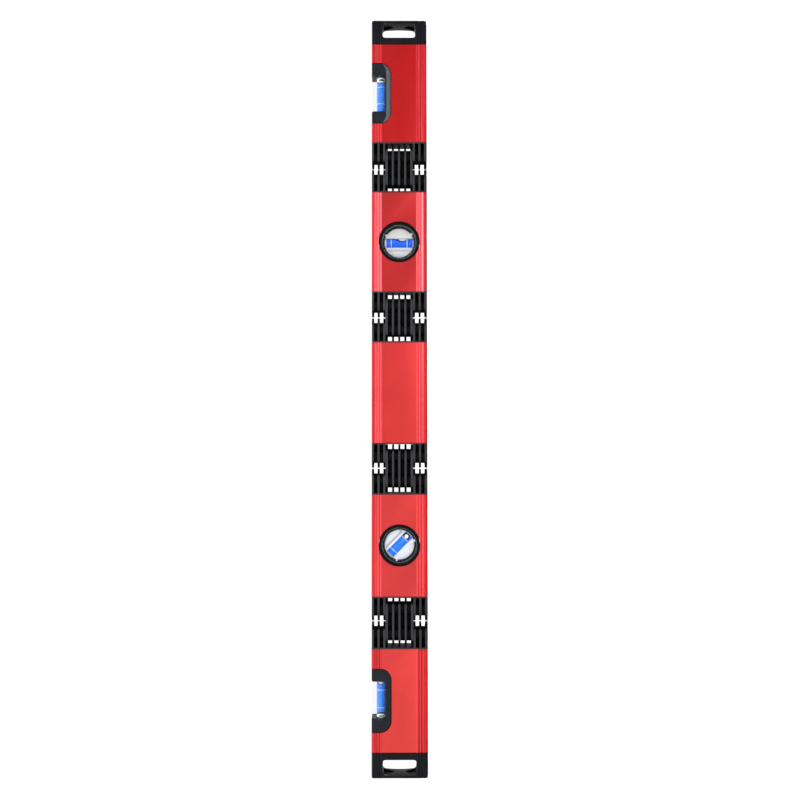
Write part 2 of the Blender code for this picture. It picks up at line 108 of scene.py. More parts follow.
# across the width, as shares of it: rounded corners, rails, and the panel between them; the upper
# corner's tone is painted shade
toneStops = ((0.0, "lower"), (0.046, "lower"), (0.058, "rail"), (0.178, "rail"), (0.19, "panel"),
             (0.81, "panel"), (0.822, "rail"), (0.942, "rail"), (0.954, "upper"))
tubeLitTones = {  # panel and rails, painted light along the level: panels paler towards tube 5, rails brightest at tube 2 as a painted highlight and darker than the panel at tube 5
    1: ("a80a0c", "c22d33"),
    2: ("a71e20", "e05a61"),
    3: ("bc2c2c", "da494e"),
    4: ("be3232", "ce3c40"),
    5: ("c83835", "b42628"),
}


def anodisedAluminium(name, panel, rail):
    look = anodised
    tones = {"lower": look["lowerCorner"], "upper": look["upperCornerShade"], "panel": panel, "rail": rail}
    material, tree, shader = startMaterial(name, panel, {
        "Metallic": look["metallic"], "Specular IOR Level": look["shine"],
        "Coat Weight": look["coat"], "Coat Roughness": look["coatRoughness"]})
    coords = addNode(tree, "ShaderNodeTexCoord").outputs["Object"]
    place = addNode(tree, "ShaderNodeSeparateXYZ", {}, {0: coords})
    across = addNode(tree, "ShaderNodeMapRange", {1: 0.0, 2: widthOfLevel * mm}, {0: place.outputs["Z"]})
    ramp = addNode(tree, "ShaderNodeValToRGB", {}, {0: across.outputs[0]})
    bands = ramp.color_ramp
    bands.elements.remove(bands.elements[1])
    bands.elements[0].color = linear(tones[toneStops[0][1]], 0.0)
    for where, tone in toneStops[1:]:
        # the alpha says where the panel is, for its roughness
        bands.elements.new(where).color = linear(tones[tone], 1.0 if tone == "panel" else 0.0)
    cloud = addNode(tree, "ShaderNodeTexNoise", {"Scale": perMetre(look["cloud"]), "Detail": 2.0},
                    {"Vector": coords})
    uneven = addNode(tree, "ShaderNodeMapRange",
                     {1: 0.3, 2: 0.7, 3: 1 - look["cloudDepth"], 4: 1 + look["cloudDepth"]},
                     {0: cloud.outputs["Fac"]})
    dyed = addNode(tree, "ShaderNodeVectorMath", {"operation": "SCALE"},
                   {0: ramp.outputs["Color"], "Scale": uneven.outputs[0]})
    tree.links.new(dyed.outputs[0], shader.inputs["Base Color"])
    along, sideways = [perMetre(size) for size in look["dieLine"]]
    stretched = addNode(tree, "ShaderNodeMapping", {"Scale": (along, sideways, sideways)},
                        {"Vector": coords})
    dieLines = addNode(tree, "ShaderNodeTexNoise", {"Scale": 1.0, "Detail": 2.0},
                       {"Vector": stretched.outputs[0]})
    grain = addNode(tree, "ShaderNodeTexNoise", {"Scale": perMetre(look["grain"]), "Detail": 3.0},
                    {"Vector": coords})
    both = addNode(tree, "ShaderNodeMath", {"operation": "ADD"},
                   {0: dieLines.outputs["Fac"], 1: grain.outputs["Fac"]})
    smooth, rough = look["roughness"]
    satin = addNode(tree, "ShaderNodeMapRange", {1: 0.6, 2: 1.4, 3: smooth, 4: rough},
                    {0: both.outputs[0]})
    blasted = addNode(tree, "ShaderNodeMath", {"operation": "MULTIPLY_ADD", 1: look["blasted"]},
                      {0: ramp.outputs["Alpha"], 2: satin.outputs[0]})
    tree.links.new(blasted.outputs[0], shader.inputs["Roughness"])
    bump = addNode(tree, "ShaderNodeBump", {"Strength": look["relief"], "Distance": look["depth"] * mm},
                   {"Height": both.outputs[0]})
    tree.links.new(bump.outputs[0], shader.inputs["Normal"])
    return material


# A moulded plastic: fine spark-eroded grain from the tool, rubbed a little lighter in places.
plasticWear = {
    "patch": 9,  # mm across a rubbed place
    "smoother": 0.06,  # how much the roughness falls and rises over the patches
    "rougher": 0.08,
    "depth": 0.04,  # mm, of the grain
}


def mouldedPlastic(name, look):
    material, tree, shader = startMaterial(name, look["body"], {
        "IOR": look["ior"], "Specular IOR Level": look.get("shine", 0.5)})
    coords = addNode(tree, "ShaderNodeTexCoord").outputs["Object"]
    grain = addNode(tree, "ShaderNodeTexNoise", {"Scale": perMetre(look["grain"]), "Detail": 3.0},
                    {"Vector": coords})
    rub = addNode(tree, "ShaderNodeTexNoise", {"Scale": perMetre(plasticWear["patch"]), "Detail": 4.0},
                  {"Vector": coords})
    worn = addNode(tree, "ShaderNodeMix",
                   {"data_type": "RGBA", 6: linear(look["body"]), 7: linear(look["rubbed"])},
                   {0: rub.outputs["Fac"]})
    tree.links.new(worn.outputs[2], shader.inputs["Base Color"])
    smooth = look["roughness"] - plasticWear["smoother"]
    rough = addNode(tree, "ShaderNodeMapRange",
                    {1: 0.3, 2: 0.7, 3: smooth, 4: look["roughness"] + plasticWear["rougher"]},
                    {0: rub.outputs["Fac"]})
    tree.links.new(rough.outputs[0], shader.inputs["Roughness"])
    bump = addNode(tree, "ShaderNodeBump",
                   {"Strength": look["relief"], "Distance": plasticWear["depth"] * mm},
                   {"Height": grain.outputs["Fac"]})
    tree.links.new(bump.outputs[0], shader.inputs["Normal"])
    return material


# Clear cast acrylic: nearly invisible face on, denser towards its edges, with a few fine scuffs.
acrylicScuffs = {"size": 1.5, "roughness": (0.02, 0.12)}


def clearAcrylic(name, look):
    material, tree, shader = startMaterial(name, look["body"], {"IOR": 1.49})
    coords = addNode(tree, "ShaderNodeTexCoord").outputs["Object"]
    scuffs = addNode(tree, "ShaderNodeTexNoise",
                     {"Scale": perMetre(acrylicScuffs["size"]), "Detail": 4.0}, {"Vector": coords})
    smooth, dull = acrylicScuffs["roughness"]
    rough = addNode(tree, "ShaderNodeMapRange", {1: 0.4, 2: 0.75, 3: smooth, 4: dull},
                    {0: scuffs.outputs["Fac"]})
    tree.links.new(rough.outputs[0], shader.inputs["Roughness"])
    edgeOn = addNode(tree, "ShaderNodeLayerWeight", {"Blend": 0.25})
    clear = addNode(tree, "ShaderNodeMapRange", {3: look["faceOn"], 4: look["edgeOn"]},
                    {0: edgeOn.outputs["Facing"]})
    tree.links.new(clear.outputs[0], shader.inputs["Alpha"])
    return material


# Dyed vial liquid seen through its barrel, which magnifies it: an even, saturated blue. It is given
# a painted glow, so that its shaded side keeps some light.
liquidLook = {"roughness": 0.15, "ior": 1.36, "shine": 0.25, "glow": 0.16, "drift": 14}


def vialLiquid(name, look):
    material, tree, shader = startMaterial(name, look["body"], {
        "Roughness": liquidLook["roughness"], "IOR": liquidLook["ior"],
        "Specular IOR Level": liquidLook["shine"],
        "Emission Color": linear(look["light"]), "Emission Strength": liquidLook["glow"]})
    coords = addNode(tree, "ShaderNodeTexCoord").outputs["Object"]
    drift = addNode(tree, "ShaderNodeTexNoise",
                    {"Scale": perMetre(liquidLook["drift"]), "Detail": 1.0}, {"Vector": coords})
    mixed = addNode(tree, "ShaderNodeMix",
                    {"data_type": "RGBA", 6: linear(look["body"]), 7: linear(look["light"])},
                    {0: drift.outputs["Fac"]})
    tree.links.new(mixed.outputs[2], shader.inputs["Base Color"])
    return material


# Black oxide on turned steel: dark, oily, with fine rings from the lathe.
def blackOxide(name, look):
    material, tree, shader = startMaterial(name, look["body"], {"Metallic": 1.0})
    coords = addNode(tree, "ShaderNodeTexCoord").outputs["Object"]
    rings = addNode(tree, "ShaderNodeTexWave",
                    {"bands_direction": "Z", "Scale": perMetre(look["ring"]), "Distortion": 0.6},
                    {"Vector": coords})
    smooth, rough = look["roughness"]
    turnedSkin = addNode(tree, "ShaderNodeMapRange", {3: smooth, 4: rough}, {0: rings.outputs["Fac"]})
    tree.links.new(turnedSkin.outputs[0], shader.inputs["Roughness"])
    return material


widthOfLevel = 52.0
redTube = {number: anodisedAluminium(f"anodisedAluminiumTube{number}", *tones)
           for number, tones in tubeLitTones.items()}
# the hinges: matt, with the fins' rims painted paler as painted light on the lit rims
blackNylon = mouldedPlastic("blackNylonGlassFilled", {
    "body": "050506", "rubbed": "0c0d0e", "roughness": 0.5, "ior": 1.53, "shine": 0.08,
    "grain": 0.3, "relief": 0.35})
rimHighlightNylon = mouldedPlastic("blackNylonRimHighlight", {
    "body": "1c1d20", "rubbed": "303136", "roughness": 0.42, "ior": 1.53, "shine": 0.25,
    "grain": 0.3, "relief": 0.2})
# caps, bezels and vial housings: a soft satin black; a pale grey that is a painted highlight, and a worn
# black, glossier, its colour painted light
blackAbs = mouldedPlastic("blackAbsMoulded", {
    "body": "0c0e11", "rubbed": "16181c", "roughness": 0.4, "ior": 1.54, "shine": 0.07,
    "grain": 0.25, "relief": 0.25})
highlightAbs = mouldedPlastic("blackAbsPaintedHighlight", {
    "body": "3c3f45", "rubbed": "4b4e55", "roughness": 0.25, "ior": 1.54, "grain": 0.6, "relief": 0.05})
wornAbsPaintedLight = mouldedPlastic("blackAbsWornPaintedLight", {
    "body": "101216", "rubbed": "17191d", "roughness": 0.35, "ior": 1.54, "shine": 0.15,
    "grain": 0.6, "relief": 0.05})
bezelAbs = mouldedPlastic("blackAbsFineGrain", {
    "body": "040506", "rubbed": "0b0c0e", "roughness": 0.38, "ior": 1.54, "shine": 0.06,
    "grain": 0.25, "relief": 0.2})
satinAbs = mouldedPlastic("blackAbsSatin", {
    "body": "181b20", "rubbed": "22262c", "roughness": 0.4, "ior": 1.54, "shine": 0.07,
    "grain": 0.25, "relief": 0.25})
# discs, the plugs, the grey stripes that are painted shade, and the printed rings on the barrels
whiteAbs = mouldedPlastic("whiteAbsMoulded", {
    "body": "e4ebf3", "rubbed": "f1f6fb", "roughness": 0.35, "ior": 1.54, "grain": 0.5, "relief": 0.1})
# a greyer white, for the plumb vial's disc
greyerWhiteAbs = mouldedPlastic("whiteAbsGreyer", {
    "body": "cfd1d1", "rubbed": "dadcdc", "roughness": 0.38, "ior": 1.54, "grain": 0.5, "relief": 0.1})
stripeShade = mouldedPlastic("greyStripePaintedShade", {
    "body": "a9b1be", "rubbed": "bac1cc", "roughness": 0.4, "ior": 1.54, "grain": 0.5, "relief": 0.1})
blueInk = mouldedPlastic("paleBluePadPrint", {
    "body": "9cc4fa", "rubbed": "b4d3fc", "roughness": 0.3, "ior": 1.5, "grain": 0.4, "relief": 0.05})
# a bubble bends the light, so it is painted: a painted highlight in its middle and painted shade round
# its rim
bubbleHighlight = mouldedPlastic("bubblePaintedHighlight", {
    "body": "f2f6fa", "rubbed": "ffffff", "roughness": 0.12, "ior": 1.36, "grain": 1.0, "relief": 0.02})
bubbleShade = mouldedPlastic("bubblePaintedShade", {
    "body": "060d24", "rubbed": "0a1530", "roughness": 0.12, "ior": 1.36, "grain": 1.0, "relief": 0.02})
clearCover = clearAcrylic("clearAcrylicCover", {"body": "e8eef2", "faceOn": 0.008, "edgeOn": 0.3})
clearBarrel = clearAcrylic("clearAcrylicBarrel", {"body": "dfe9f4", "faceOn": 0.006, "edgeOn": 0.1})
clearBlock = clearAcrylic("clearAcrylicBlock", {"body": "8b959d", "faceOn": 0.07, "edgeOn": 0.3})
sawnBlock = clearAcrylic("clearAcrylicSawn", {"body": "a8afb5", "faceOn": 0.08, "edgeOn": 0.2})
levelBlue = vialLiquid("vialLiquidPale", {"body": "147cfc", "light": "2286ff"})
plumbBlue = vialLiquid("vialLiquidDeep", {"body": "035ae6", "light": "0c62ec"})
angleBlue = vialLiquid("vialLiquidBright", {"body": "0c74fc", "light": "187cff"})
pinSteel = blackOxide("blackOxideSteel", {"body": "3b3c40", "ring": 2, "roughness": (0.3, 0.48)})
print("materials made")

# Shapes are drawn in mm and scaled when a piece is finished. A loft's outline is drawn on one
# plane and its levels lie along the axis that the matrix is named for.
alongX = Matrix(((0, 0, 1, 0), (1, 0, 0, 0), (0, 1, 0, 0), (0, 0, 0, 1)))  # drawn as (y, z)
alongY = Matrix(((0, 1, 0, 0), (0, 0, 1, 0), (1, 0, 0, 0), (0, 0, 0, 1)))  # drawn as (z, x)
alongZ = Matrix.Identity(4)
turnedAboutY = Matrix.Rotation(radians(-90), 4, "X")


def arc(centre, radius, start, end, steps):
    turns = [radians(start + (end - start) * i / steps) for i in range(steps + 1)]
    return [(centre[0] + radius * cos(t), centre[1] + radius * sin(t)) for t in turns]


def ellipse(centre, semi, start=0.0, end=360.0, steps=40):
    # open at its end where it's a whole turn, so that no point is doubled
    count = steps if end - start >= 360 else steps + 1
    turns = [radians(start + (end - start) * i / steps) for i in range(count)]
    return [(centre[0] + semi[0] * cos(t), centre[1] + semi[1] * sin(t)) for t in turns]


def roundedBox(low, high, radius, steps):
    (u0, v0), (u1, v1) = low, high
    return (arc((u1 - radius, v1 - radius), radius, 0, 90, steps)
            + arc((u0 + radius, v1 - radius), radius, 90, 180, steps)
            + arc((u0 + radius, v0 + radius), radius, 180, 270, steps)
            + arc((u1 - radius, v0 + radius), radius, 270, 360, steps))


def meshObject(shape, axes=alongZ):
    bmesh.ops.remove_doubles(shape, verts=shape.verts, dist=0.0005)
    bmesh.ops.recalc_face_normals(shape, faces=shape.faces)
    bmesh.ops.transform(shape, matrix=axes, verts=shape.verts)
    mesh = bpy.data.meshes.new("shape")
    shape.to_mesh(mesh)
    shape.free()
    obj = bpy.data.objects.new("shape", mesh)
    workshop.collection.objects.link(obj)
    return obj


def loft(levels, axes=alongZ):
    # a closed solid through outlines with the same number of points: (height, outline) each
    shape = bmesh.new()
    rings = [[shape.verts.new((u, v, height)) for u, v in outline] for height, outline in levels]
    count = len(rings[0])
    for low, high in zip(rings, rings[1:]):
        for i in range(count):
            j = (i + 1) % count
            shape.faces.new((low[i], low[j], high[j], high[i]))
    shape.faces.new(list(reversed(rings[0])))
    shape.faces.new(rings[-1])
    return meshObject(shape, axes)


def turned(profile, steps, axes=alongZ):
    # a profile of (radius, height) points turned about local Z; a zero radius closes it
    shape = bmesh.new()
    rings = []
    for radius, height in profile:
        if radius < 1e-6:
            rings.append([shape.verts.new((0, 0, height))] * steps)
            continue
        angles = [2 * pi * i / steps for i in range(steps)]
        rings.append([shape.verts.new((radius * cos(a), radius * sin(a), height)) for a in angles])
    for low, high in zip(rings, rings[1:] + rings[:1]):
        if low[0] is low[1] and high[0] is high[1]:
            continue
        for i in range(steps):
            j = (i + 1) % steps
            corners = [low[i], low[j], high[j], high[i]]
            shape.faces.new([v for k, v in enumerate(corners) if v not in corners[:k]])
    return meshObject(shape, axes)


def placed(obj, matrix):
    obj.data.transform(matrix)
    return obj


def combine(base, tool, operation):
    boolean = base.modifiers.new("boolean", "BOOLEAN")
    boolean.operation = operation
    boolean.object = tool
    graph = bpy.context.evaluated_depsgraph_get()
    mesh = bpy.data.meshes.new_from_object(base.evaluated_get(graph))
    base.modifiers.clear()
    base.data = mesh
    bpy.data.objects.remove(tool, do_unlink=True)
    return base


def join(base, *others):
    for other in others:
        base = combine(base, other, "UNION")
    return base


def cut(base, *tools):
    # the cutters run well past the piece, so that no two faces lie in one plane
    for tool in tools:
        base = combine(base, tool, "DIFFERENCE")
    return base


def finished(obj, sharpAngle=32):
    # from mm to metres, with smooth shading between sharp edges; returns the mesh alone
    mesh = obj.data
    mesh.transform(Matrix.Scale(mm, 4))
    mesh.shade_smooth()
    mesh.set_sharp_from_angle(angle=radians(sharpAngle))
    bpy.data.objects.remove(obj, do_unlink=True)
    return mesh


def paintFaces(mesh, first, second, isSecond):
    # two materials on one mesh: a face's middle, in mm, and its normal say which
    mesh.materials.append(first)
    mesh.materials.append(second)
    for face in mesh.polygons:
        face.material_index = 1 if isSecond(face.center / mm, face.normal) else 0
    return mesh


def addPiece(name, mesh, material, body, place=(0, 0, 0), turn=0.0, nodes=()):
    # a piece in its place, riding on its body and standing for its CAD nodes
    piece = bpy.data.objects.new(name, mesh)
    workshop.collection.objects.link(piece)
    if not mesh.materials:
        mesh.materials.append(material)
    piece.location = place
    piece.rotation_euler = (0, 0, turn)
    if mesh.materials[0] is not material:
        piece.material_slots[0].link = "OBJECT"
        piece.material_slots[0].material = material
    bpy.context.view_layer.update()
    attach(piece, body)
    if nodes:
        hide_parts(*nodes)
    return piece


def middleOf(node):
    low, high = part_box(node)
    return (low + high) / 2


def sizeOf(node):
    low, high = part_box(node)
    return (high - low) / mm


segments = range(1, 6)
hinges = range(1, 5)
tubeHalf = sizeOf("tube_3").x / 2
segmentX = {number: middleOf(f"tube_{number}").x for number in segments}
pinX = {f"{hinge}{side}": middleOf(f"hinge_pin_{hinge}{side}").x for hinge in hinges for side in "ab"}

# The camera is far off and square to the front face, with the level upright in the picture.
cameraSetup = {
    "place": (-0.0242, -1.0238, 0.0273),
    "turn": (3.02, -0.11, -0.06),  # degrees, from looking square at the front
    "lens": 48.57,
    "shiftY": -0.0483,
}


def addCamera(setup):
    camera = bpy.data.objects.new("camera", bpy.data.cameras.new("camera"))
    workshop.collection.objects.link(camera)
    camera.data.lens = setup["lens"]
    camera.data.sensor_width = 36
    camera.data.shift_y = setup["shiftY"]
    camera.data.clip_start = 0.01
    camera.data.clip_end = 50
    # +X of the level is up in the picture and +Z is to the left
    upright = Matrix(((0, 1, 0), (0, 0, -1), (-1, 0, 0)))
    turn = Euler([radians(a) for a in setup["turn"]]).to_matrix()
    camera.matrix_world = Matrix.Translation(setup["place"]) @ (upright @ turn).to_4x4()
    workshop.camera = camera


# A white sweep with a large soft light above, a weak key and a small lamp for the rails in front,
# and a fill behind.
studio = {
    "backdrop": 1.05,
    "around": 0.17,  # what the level reflects where no lamp is
    "floorRadius": 1.05,
    "floorMiddle": (0, -0.3, -0.2 * mm),
    "floorTone": "f4f4f2",
    "lamps": {  # place, aim, size and power
        "overhead": ((0, -0.35, 1.5), (0, -0.35, 0), (2.6, 2.4), 50),
        "frontKey": ((-0.55, -1.35, 0.75), (-0.05, 0, 0.02), (0.9, 0.9), 7),
        "railStrip": ((0.32, -1.1, 0.42), (0.12, 0, 0.03), (0.4, 0.3), 3.6),
        "rearFill": ((0.3, 1.6, 0.9), (0, 0, 0.02), (1.2, 1.0), 8),
    },
}


def addSoftbox(name, place, aim, size, power):
    lamp = bpy.data.lights.new(name, "AREA")
    lamp.shape = "RECTANGLE"
    lamp.size, lamp.size_y = size
    lamp.energy = power
    holder = bpy.data.objects.new(name, lamp)
    workshop.collection.objects.link(holder)
    holder.location = place
    holder.rotation_euler = (Vector(aim) - Vector(place)).to_track_quat("-Z", "Y").to_euler()


def addWorld(setup):
    # the backdrop is white to the eye and through clear plastic, and dimmer as a light
    world = bpy.data.worlds.new("paleStudio")
    workshop.world = world
    world.use_nodes = True
    tree = world.node_tree
    tree.nodes.clear()
    rays = addNode(tree, "ShaderNodeLightPath")
    seen = addNode(tree, "ShaderNodeMath", {"operation": "MAXIMUM"},
                   {0: rays.outputs["Is Camera Ray"], 1: rays.outputs["Is Transmission Ray"]})
    dim = addNode(tree, "ShaderNodeBackground", {"Color": (1, 1, 1, 1), "Strength": setup["around"]})
    white = addNode(tree, "ShaderNodeBackground", {"Color": (1, 1, 1, 1), "Strength": setup["backdrop"]})
    mix = addNode(tree, "ShaderNodeMixShader", {},
                  {0: seen.outputs[0], 1: dim.outputs[0], 2: white.outputs[0]})
    addNode(tree, "ShaderNodeOutputWorld", {}, {0: mix.outputs[0]})


def addFloor(setup):
    shape = bmesh.new()
    bmesh.ops.create_circle(shape, cap_ends=True, segments=96, radius=setup["floorRadius"])
    floorMesh = bpy.data.meshes.new("paleFloor")
    shape.to_mesh(floorMesh)
    shape.free()
    floor = bpy.data.objects.new("paleFloor", floorMesh)
    workshop.collection.objects.link(floor)
    floor.location = setup["floorMiddle"]
    paper, _, _ = startMaterial("paleFloorPaper", setup["floorTone"],
                                {"Roughness": 0.9, "Specular IOR Level": 0.0})
    floorMesh.materials.append(paper)


addCamera(cameraSetup)
addWorld(studio)
addFloor(studio)
for lampName, lampSettings in studio["lamps"].items():
    addSoftbox(lampName, *lampSettings)
print("camera, light and floor set")

tubeShape = {
    "face": 11.0,
    "edgeRadius": 2.5,
    "rail": 9.9,
    "grooves": (5.2, 7.7),
    "grooveWidth": 0.9,
    "grooveDepth": 0.7,
    "ribCrown": 0.3,
    "panelRecess": 0.4,
    "panelSlope": 0.3,
    "wall": 1.8,
    "notchHalf": 29.3,
    "notchDepth": 18.6,
    "notchRadius": 10.5,
    "windowRadius": 19.5,
}


def faceLine(side, inset=0.0):
    # one broad face from the lower edge to the upper: a round corner, three crowned ribs with
    # grooves between them, then a step down to the flat panel
    shape = tubeShape
    face = shape["face"] - inset
    radius = shape["edgeRadius"]
    halfGroove = shape["grooveWidth"] / 2
    line = arc((face - radius, inset + radius), radius, 270, 360, 6)
    starts = [inset + radius] + [groove + halfGroove for groove in shape["grooves"]]
    ends = [groove - halfGroove for groove in shape["grooves"]] + [shape["rail"]]
    steps = 6
    for rib, (low, high) in enumerate(zip(starts, ends)):
        for i in range(1 if rib == 0 else 0, steps + 1):
            # the first rib starts flush with the corner, so it only falls towards its groove
            across = i / steps if rib == 0 else 2 * i / steps - 1
            line.append((face - shape["ribCrown"] * across ** 2, low + (high - low) * i / steps))
        if rib < len(shape["grooves"]):
            line.append((face - shape["grooveDepth"], shape["grooves"][rib]))
    line.append((face - shape["panelRecess"], shape["rail"] + shape["panelSlope"]))
    upper = [(y, widthOfLevel - z) for y, z in reversed(line)]
    return [(side * y, z) for y, z in line + upper]


def profile(inset=0.0):
    return faceLine(1, inset) + list(reversed(faceLine(-1, inset)))


def notch(half, floor, top, radiusX, radiusZ, steps=12):
    # a pocket with two round corners, open past the upper edge, as (z, x) points
    corner = arc((0, 0), 1, 180, 270, steps)
    low = [(floor + radiusZ + z * radiusZ, -half + radiusX + x * radiusX) for z, x in corner]
    high = [(z, -x) for z, x in low]
    return [(top, -half)] + list(reversed(low)) + high + [(top, half)]


def tubeMesh(kind):
    shape = tubeShape
    wall = shape["wall"]
    inner = shape["face"] - wall
    tube = loft([(-tubeHalf, profile()), (tubeHalf, profile())], alongX)
    hollow = [(-inner, wall), (inner, wall), (inner, widthOfLevel - wall), (-inner, widthOfLevel - wall)]
    tube = cut(tube, loft([(-60, hollow), (60, hollow)], alongX))
    if kind == "edge":
        floor = widthOfLevel - shape["notchDepth"]
        pocket = notch(shape["notchHalf"], floor, 70, shape["notchRadius"], shape["notchRadius"])
        tube = cut(tube, loft([(-20, pocket), (20, pocket)], alongY))
    if kind == "round":
        ring = ellipse((widthOfLevel / 2, 0), (shape["windowRadius"], shape["windowRadius"]), steps=96)
        tube = cut(tube, loft([(-20, ring), (20, ring)], alongY))
    return finished(tube, sharpAngle=20)


for kind, numbers in {"edge": (1, 5), "round": (2, 4), "plain": (3,)}.items():
    template = tubeMesh(kind)
    for number in numbers:
        addPiece(f"tube{number}", template, redTube[number], f"segment_{number}",
                 (segmentX[number], 0, 0), 0.0, [f"tube_{number}"])
print("tubes made")

hingeShape = {
    "radius": 11.0,
    "soft": 0.35,  # round on the fins' rims
    "fin": 2.0,
    "hub": 6.7,
    "web": 3.0,
    "bore": 2.7,
    "plateX": 11.35,
    "plate": 1.0,
    "plateInset": (0.1, 0.3),  # in from the fins' sides and from the level's edges
    "plateCorner": 1.5,
    "knuckles": ((0.2, 12.95), (39.05, 51.8)),
    "knuckleFins": 3,
    "link": (13.3, 38.7),
    "linkFins": 5,
    "outerFin": 0.28,  # how much thicker the link's outer fins are, to close up to the knuckles
    "reach": 11.5,
    "spigot": {"halfY": 8.9, "edge": 2.1, "length": 8.0, "wall": 2.4, "floor": 1.2},
    "pin": {"ends": (0.7, 51.3), "radius": 2.5, "chamfer": 0.4, "mark": (0.7, 0.5)},
    "rubbed": 1.2,  # how far in from their outermost line the fins' rims are painted paler as painted light
}


def finPlaces(low, high, count):
    pitch = (high - low - hingeShape["fin"]) / (count - 1)
    return [(low + i * pitch, low + i * pitch + hingeShape["fin"]) for i in range(count)]


def softFin(outlineAt, low, high):
    # a fin with rounded rims: its outline shrinks by up to the soft radius at both faces
    soft = hingeShape["soft"]
    turns = [radians(d) for d in (0, 30, 60, 90)]
    rim = [(soft * (1 - cos(a)), outlineAt(soft * (1 - sin(a)))) for a in turns]
    levels = [(low + height, outline) for height, outline in rim]
    levels += [(high - height, outline) for height, outline in reversed(rim)]
    return loft(levels)


def hubBore(x):
    bore = ellipse((x, 0), (hingeShape["bore"], hingeShape["bore"]), steps=24)
    return loft([(-10, bore), (70, bore)])


def paintRimHighlights(mesh):
    # the fins' rims are painted paler than the grooves between them: painted light on the lit rims
    inner = hingeShape["radius"] - hingeShape["rubbed"]
    return paintFaces(mesh, blackNylon, rimHighlightNylon, lambda middle, normal: abs(middle.y) > inner)


def bracketMesh():
    shape = hingeShape
    halfWeb = shape["web"] / 2
    meet = degrees(asin(halfWeb / shape["hub"]))
    plateX = shape["plateX"]
    plateEnd = plateX + shape["plate"]
    root = plateX + shape["plate"] / 2

    def finOutline(shrink):
        radius = shape["radius"] - shrink
        return arc((0, 0), radius, 90, 270, 25) + [(root, -radius), (root, radius)]

    insetY, insetZ = shape["plateInset"]
    face = shape["radius"] - insetY
    plateOutline = roundedBox((-face, insetZ), (face, widthOfLevel - insetZ), shape["plateCorner"], 5)
    bracket = loft([(plateX, plateOutline), (plateEnd, plateOutline)], alongX)
    core = arc((0, 0), shape["hub"], meet, 360 - meet, 33) + [(root, -halfWeb), (root, halfWeb)]
    inside = shape["fin"] / 2
    for low, high in shape["knuckles"]:
        bracket = join(bracket, loft([(low + inside, core), (high - inside, core)]))
        for fin in finPlaces(low, high, shape["knuckleFins"]):
            bracket = join(bracket, softFin(finOutline, *fin))
    spigot = shape["spigot"]
    halfY, edge, wall = spigot["halfY"], spigot["edge"], spigot["wall"]
    outer = [(-halfY, edge), (halfY, edge), (halfY, widthOfLevel - edge), (-halfY, widthOfLevel - edge)]
    inner = [(y - (wall if y > 0 else -wall), z + (wall if z < widthOfLevel / 2 else -wall))
             for y, z in outer]
    bracket = join(bracket, loft([(root, outer), (plateEnd + spigot["length"], outer)], alongX))
    bracket = cut(bracket, loft([(plateEnd + spigot["floor"], inner), (plateEnd + 20, inner)], alongX))
    return paintRimHighlights(finished(cut(bracket, hubBore(0))))


def linkMesh():
    shape = hingeShape
    reach = shape["reach"]
    meet = degrees(asin(shape["web"] / 2 / shape["hub"]))

    def finOutline(shrink):
        radius = shape["radius"] - shrink
        return arc((reach, 0), radius, -90, 90, 25) + arc((-reach, 0), radius, 90, 270, 25)

    core = arc((reach, 0), shape["hub"], meet - 180, 180 - meet, 33)
    core += arc((-reach, 0), shape["hub"], meet, 360 - meet, 33)
    low, high = shape["link"]
    inside = shape["fin"] / 2
    link = loft([(low + inside, core), (high - inside, core)])
    for start, end in finPlaces(low, high, shape["linkFins"]):
        start -= shape["outerFin"] if start == low else 0
        end += shape["outerFin"] if abs(end - high) < 1e-6 else 0
        link = join(link, softFin(finOutline, start, end))
    return paintRimHighlights(finished(cut(link, hubBore(reach), hubBore(-reach))))


def pinMesh():
    # a ground pin with chamfered ends, a centre mark in each
    pin = hingeShape["pin"]
    low, high = pin["ends"]
    radius, chamfer = pin["radius"], pin["chamfer"]
    markRadius, markDepth = pin["mark"]
    half = [(0, low + markDepth), (markRadius, low), (radius - chamfer, low), (radius, low + chamfer)]
    return finished(turned(half + [(r, low + high - z) for r, z in reversed(half)], 32))


bracket, link, pin = bracketMesh(), linkMesh(), pinMesh()
for hinge in hinges:
    for side, owner, turn in (("a", hinge, 0.0), ("b", hinge + 1, pi)):
        place = (pinX[f"{hinge}{side}"], 0, 0)
        body = f"segment_{owner}"
        addPiece(f"hingeBracket{hinge}{side}", bracket, blackNylon, body, place, turn,
                 [f"hinge_bracket_{hinge}{side}"])
        addPiece(f"hingePin{hinge}{side}", pin, pinSteel, body, place, 0.0,
                 [f"hinge_pin_{hinge}{side}"])
    place = (middleOf(f"hinge_link_{hinge}").x, 0, 0)
    addPiece(f"hingeLink{hinge}", link, blackNylon, f"link_{hinge}", place, 0.0,
             [f"hinge_link_{hinge}"])
print("hinges made")

capShape = {
    "length": 23.5,
    "inset": 0.1,
    "round": 0.9,
    "slotLength": 31.4,
    "slotHeight": 13.6,
    "bar": 3.1,
    "corner": 2.6,
    "scoop": 1.1,
    "plug": (-7.7, 0.8),  # from its end inside the tube to inside the cap
    "hollow": (10.4, 11.0, 2.0),  # half height, length and depth of the hollows at the bar's ends
    "hollowEnd": 0.3,  # gap at their wide end, and half their height at the narrow one
}


